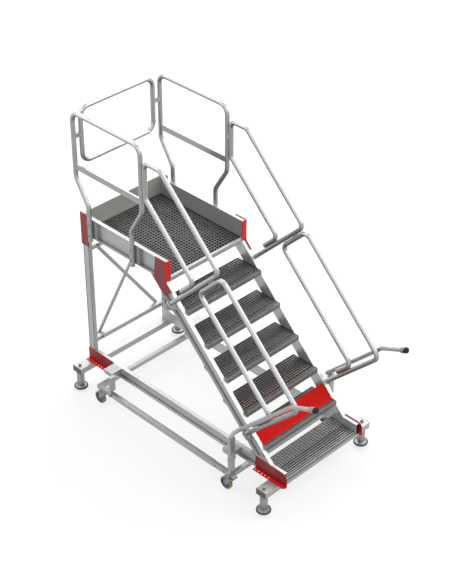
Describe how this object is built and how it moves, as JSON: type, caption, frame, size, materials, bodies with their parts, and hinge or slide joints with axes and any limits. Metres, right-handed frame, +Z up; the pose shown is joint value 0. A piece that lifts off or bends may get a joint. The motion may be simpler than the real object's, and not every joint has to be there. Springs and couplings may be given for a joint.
{
  "type": "mobile platform ladder",
  "caption": "Wheeled stair with a railed work platform, handrails, levelling feet and a lever-lowered castor chassis.",
  "frame": {"origin": "on the floor, below the middle of the overall footprint, with the castors down", "axes": "+Y is the climbing direction, from the bottom step to the platform; +X is to the climber's right; +Z up"},
  "size_m": [1.258, 2.6764, 2.632],
  "materials": {
    "aluminium": "satin",
    "red_paint": "satin",
    "tread_dark": "matt, perforated",
    "zinc": "zinc plated",
    "black_plastic": "matt",
    "wheel_body": "matt",
    "wheel_tread": "smooth"
  },
  "bodies": {
    "frame": {"foot_beam_front": "aluminium", "foot_beam_rear": "aluminium", "base_rail_left": "aluminium", "base_rail_right": "aluminium", "stringer_left": "aluminium", "stringer_right": "aluminium", "rear_post_left": "aluminium", "rear_post_right": "aluminium", "side_panel_left": "aluminium", "side_panel_right": "aluminium", "guardrail_left": "aluminium", "guardrail_right": "aluminium", "handrail_lower_left": "aluminium", "handrail_lower_right": "aluminium", "handrail_upper_left": "aluminium", "handrail_upper_right": "aluminium", "platform_nosing": "aluminium", "rear_toe_board": "aluminium", "rear_gate": "aluminium", "rail_clamps": "aluminium", "guardrail_pads": "aluminium", "handrail_brackets": "aluminium", "rear_ties": "aluminium", "rear_brace_a": "aluminium", "rear_brace_b": "aluminium", "pivot_brackets": "aluminium", "tread_1": "tread_dark", "tread_2": "tread_dark", "tread_3": "tread_dark", "tread_4": "tread_dark", "tread_5": "tread_dark", "bottom_step": "tread_dark", "platform_deck": "tread_dark", "step_blocker": "red_paint", "rear_upper_gussets": "red_paint", "front_upper_gussets": "red_paint", "rear_lower_brackets": "red_paint", "front_lower_brackets": "red_paint", "levelling_feet": "zinc", "beam_end_caps": "black_plastic"},
    "lift_levers": {"lever_left": "aluminium", "lever_right": "aluminium", "lever_grips": "black_plastic"},
    "rear_links": {"rear_links": "aluminium"},
    "chassis": {"chassis_bar_left": "aluminium", "chassis_bar_right": "aluminium", "chassis_crossbars": "aluminium", "castor_plates": "zinc"},
    "castor_front_left": {"castor_fork_front_left": "zinc"},
    "wheel_front_left": {"wheel_front_left": "wheel_body", "tyre_front_left": "wheel_tread"},
    "castor_front_right": {"castor_fork_front_right": "zinc"},
    "wheel_front_right": {"wheel_front_right": "wheel_body", "tyre_front_right": "wheel_tread"},
    "castor_rear_left": {"castor_fork_rear_left": "zinc"},
    "wheel_rear_left": {"wheel_rear_left": "wheel_body", "tyre_rear_left": "wheel_tread"},
    "castor_rear_right": {"castor_fork_rear_right": "zinc"},
    "wheel_rear_right": {"wheel_rear_right": "wheel_body", "tyre_rear_right": "wheel_tread"}
  },
  "joints": [
    {"name": "lever_lift", "type": "hinge", "parent": "frame", "child": "lift_levers", "pos_m": [0, -0.53768, 0.333], "axis": [-1, 0, 0], "range_deg": [0, 45]},
    {"name": "rear_link_swing", "type": "hinge", "parent": "frame", "child": "rear_links", "pos_m": [0, 0.86532, 0.333], "axis": [-1, 0, 0], "range_deg": [0, 45]},
    {"name": "chassis_fold", "type": "hinge", "parent": "lift_levers", "child": "chassis", "pos_m": [0, -0.53268, 0.166], "axis": [-1, 0, 0], "range_deg": [-45, 0]},
    {"name": "castor_swivel_front_left", "type": "hinge", "parent": "chassis", "child": "castor_front_left", "pos_m": [-0.57, -0.53668, 0.128], "axis": [0, 0, 1], "continuous": true},
    {"name": "wheel_spin_front_left", "type": "hinge", "parent": "castor_front_left", "child": "wheel_front_left", "pos_m": [-0.57, -0.48468, 0.056], "axis": [-1, 0, 0], "continuous": true},
    {"name": "castor_swivel_front_right", "type": "hinge", "parent": "chassis", "child": "castor_front_right", "pos_m": [0.57, -0.53668, 0.128], "axis": [0, 0, 1], "continuous": true},
    {"name": "wheel_spin_front_right", "type": "hinge", "parent": "castor_front_right", "child": "wheel_front_right", "pos_m": [0.57, -0.48468, 0.056], "axis": [-1, 0, 0], "continuous": true},
    {"name": "castor_swivel_rear_left", "type": "hinge", "parent": "chassis", "child": "castor_rear_left", "pos_m": [-0.57, 0.96732, 0.128], "axis": [0, 0, 1], "continuous": true},
    {"name": "wheel_spin_rear_left", "type": "hinge", "parent": "castor_rear_left", "child": "wheel_rear_left", "pos_m": [-0.57, 1.01932, 0.056], "axis": [-1, 0, 0], "continuous": true},
    {"name": "castor_swivel_rear_right", "type": "hinge", "parent": "chassis", "child": "castor_rear_right", "pos_m": [0.57, 0.96732, 0.128], "axis": [0, 0, 1], "continuous": true},
    {"name": "wheel_spin_rear_right", "type": "hinge", "parent": "castor_rear_right", "child": "wheel_rear_right", "pos_m": [0.57, 1.01932, 0.056], "axis": [-1, 0, 0], "continuous": true}
  ],
  "couplings": [
    {"joint": "rear_link_swing", "follows": "lever_lift", "ratio": 1},
    {"joint": "chassis_fold", "follows": "lever_lift", "ratio": -1}
  ]
}
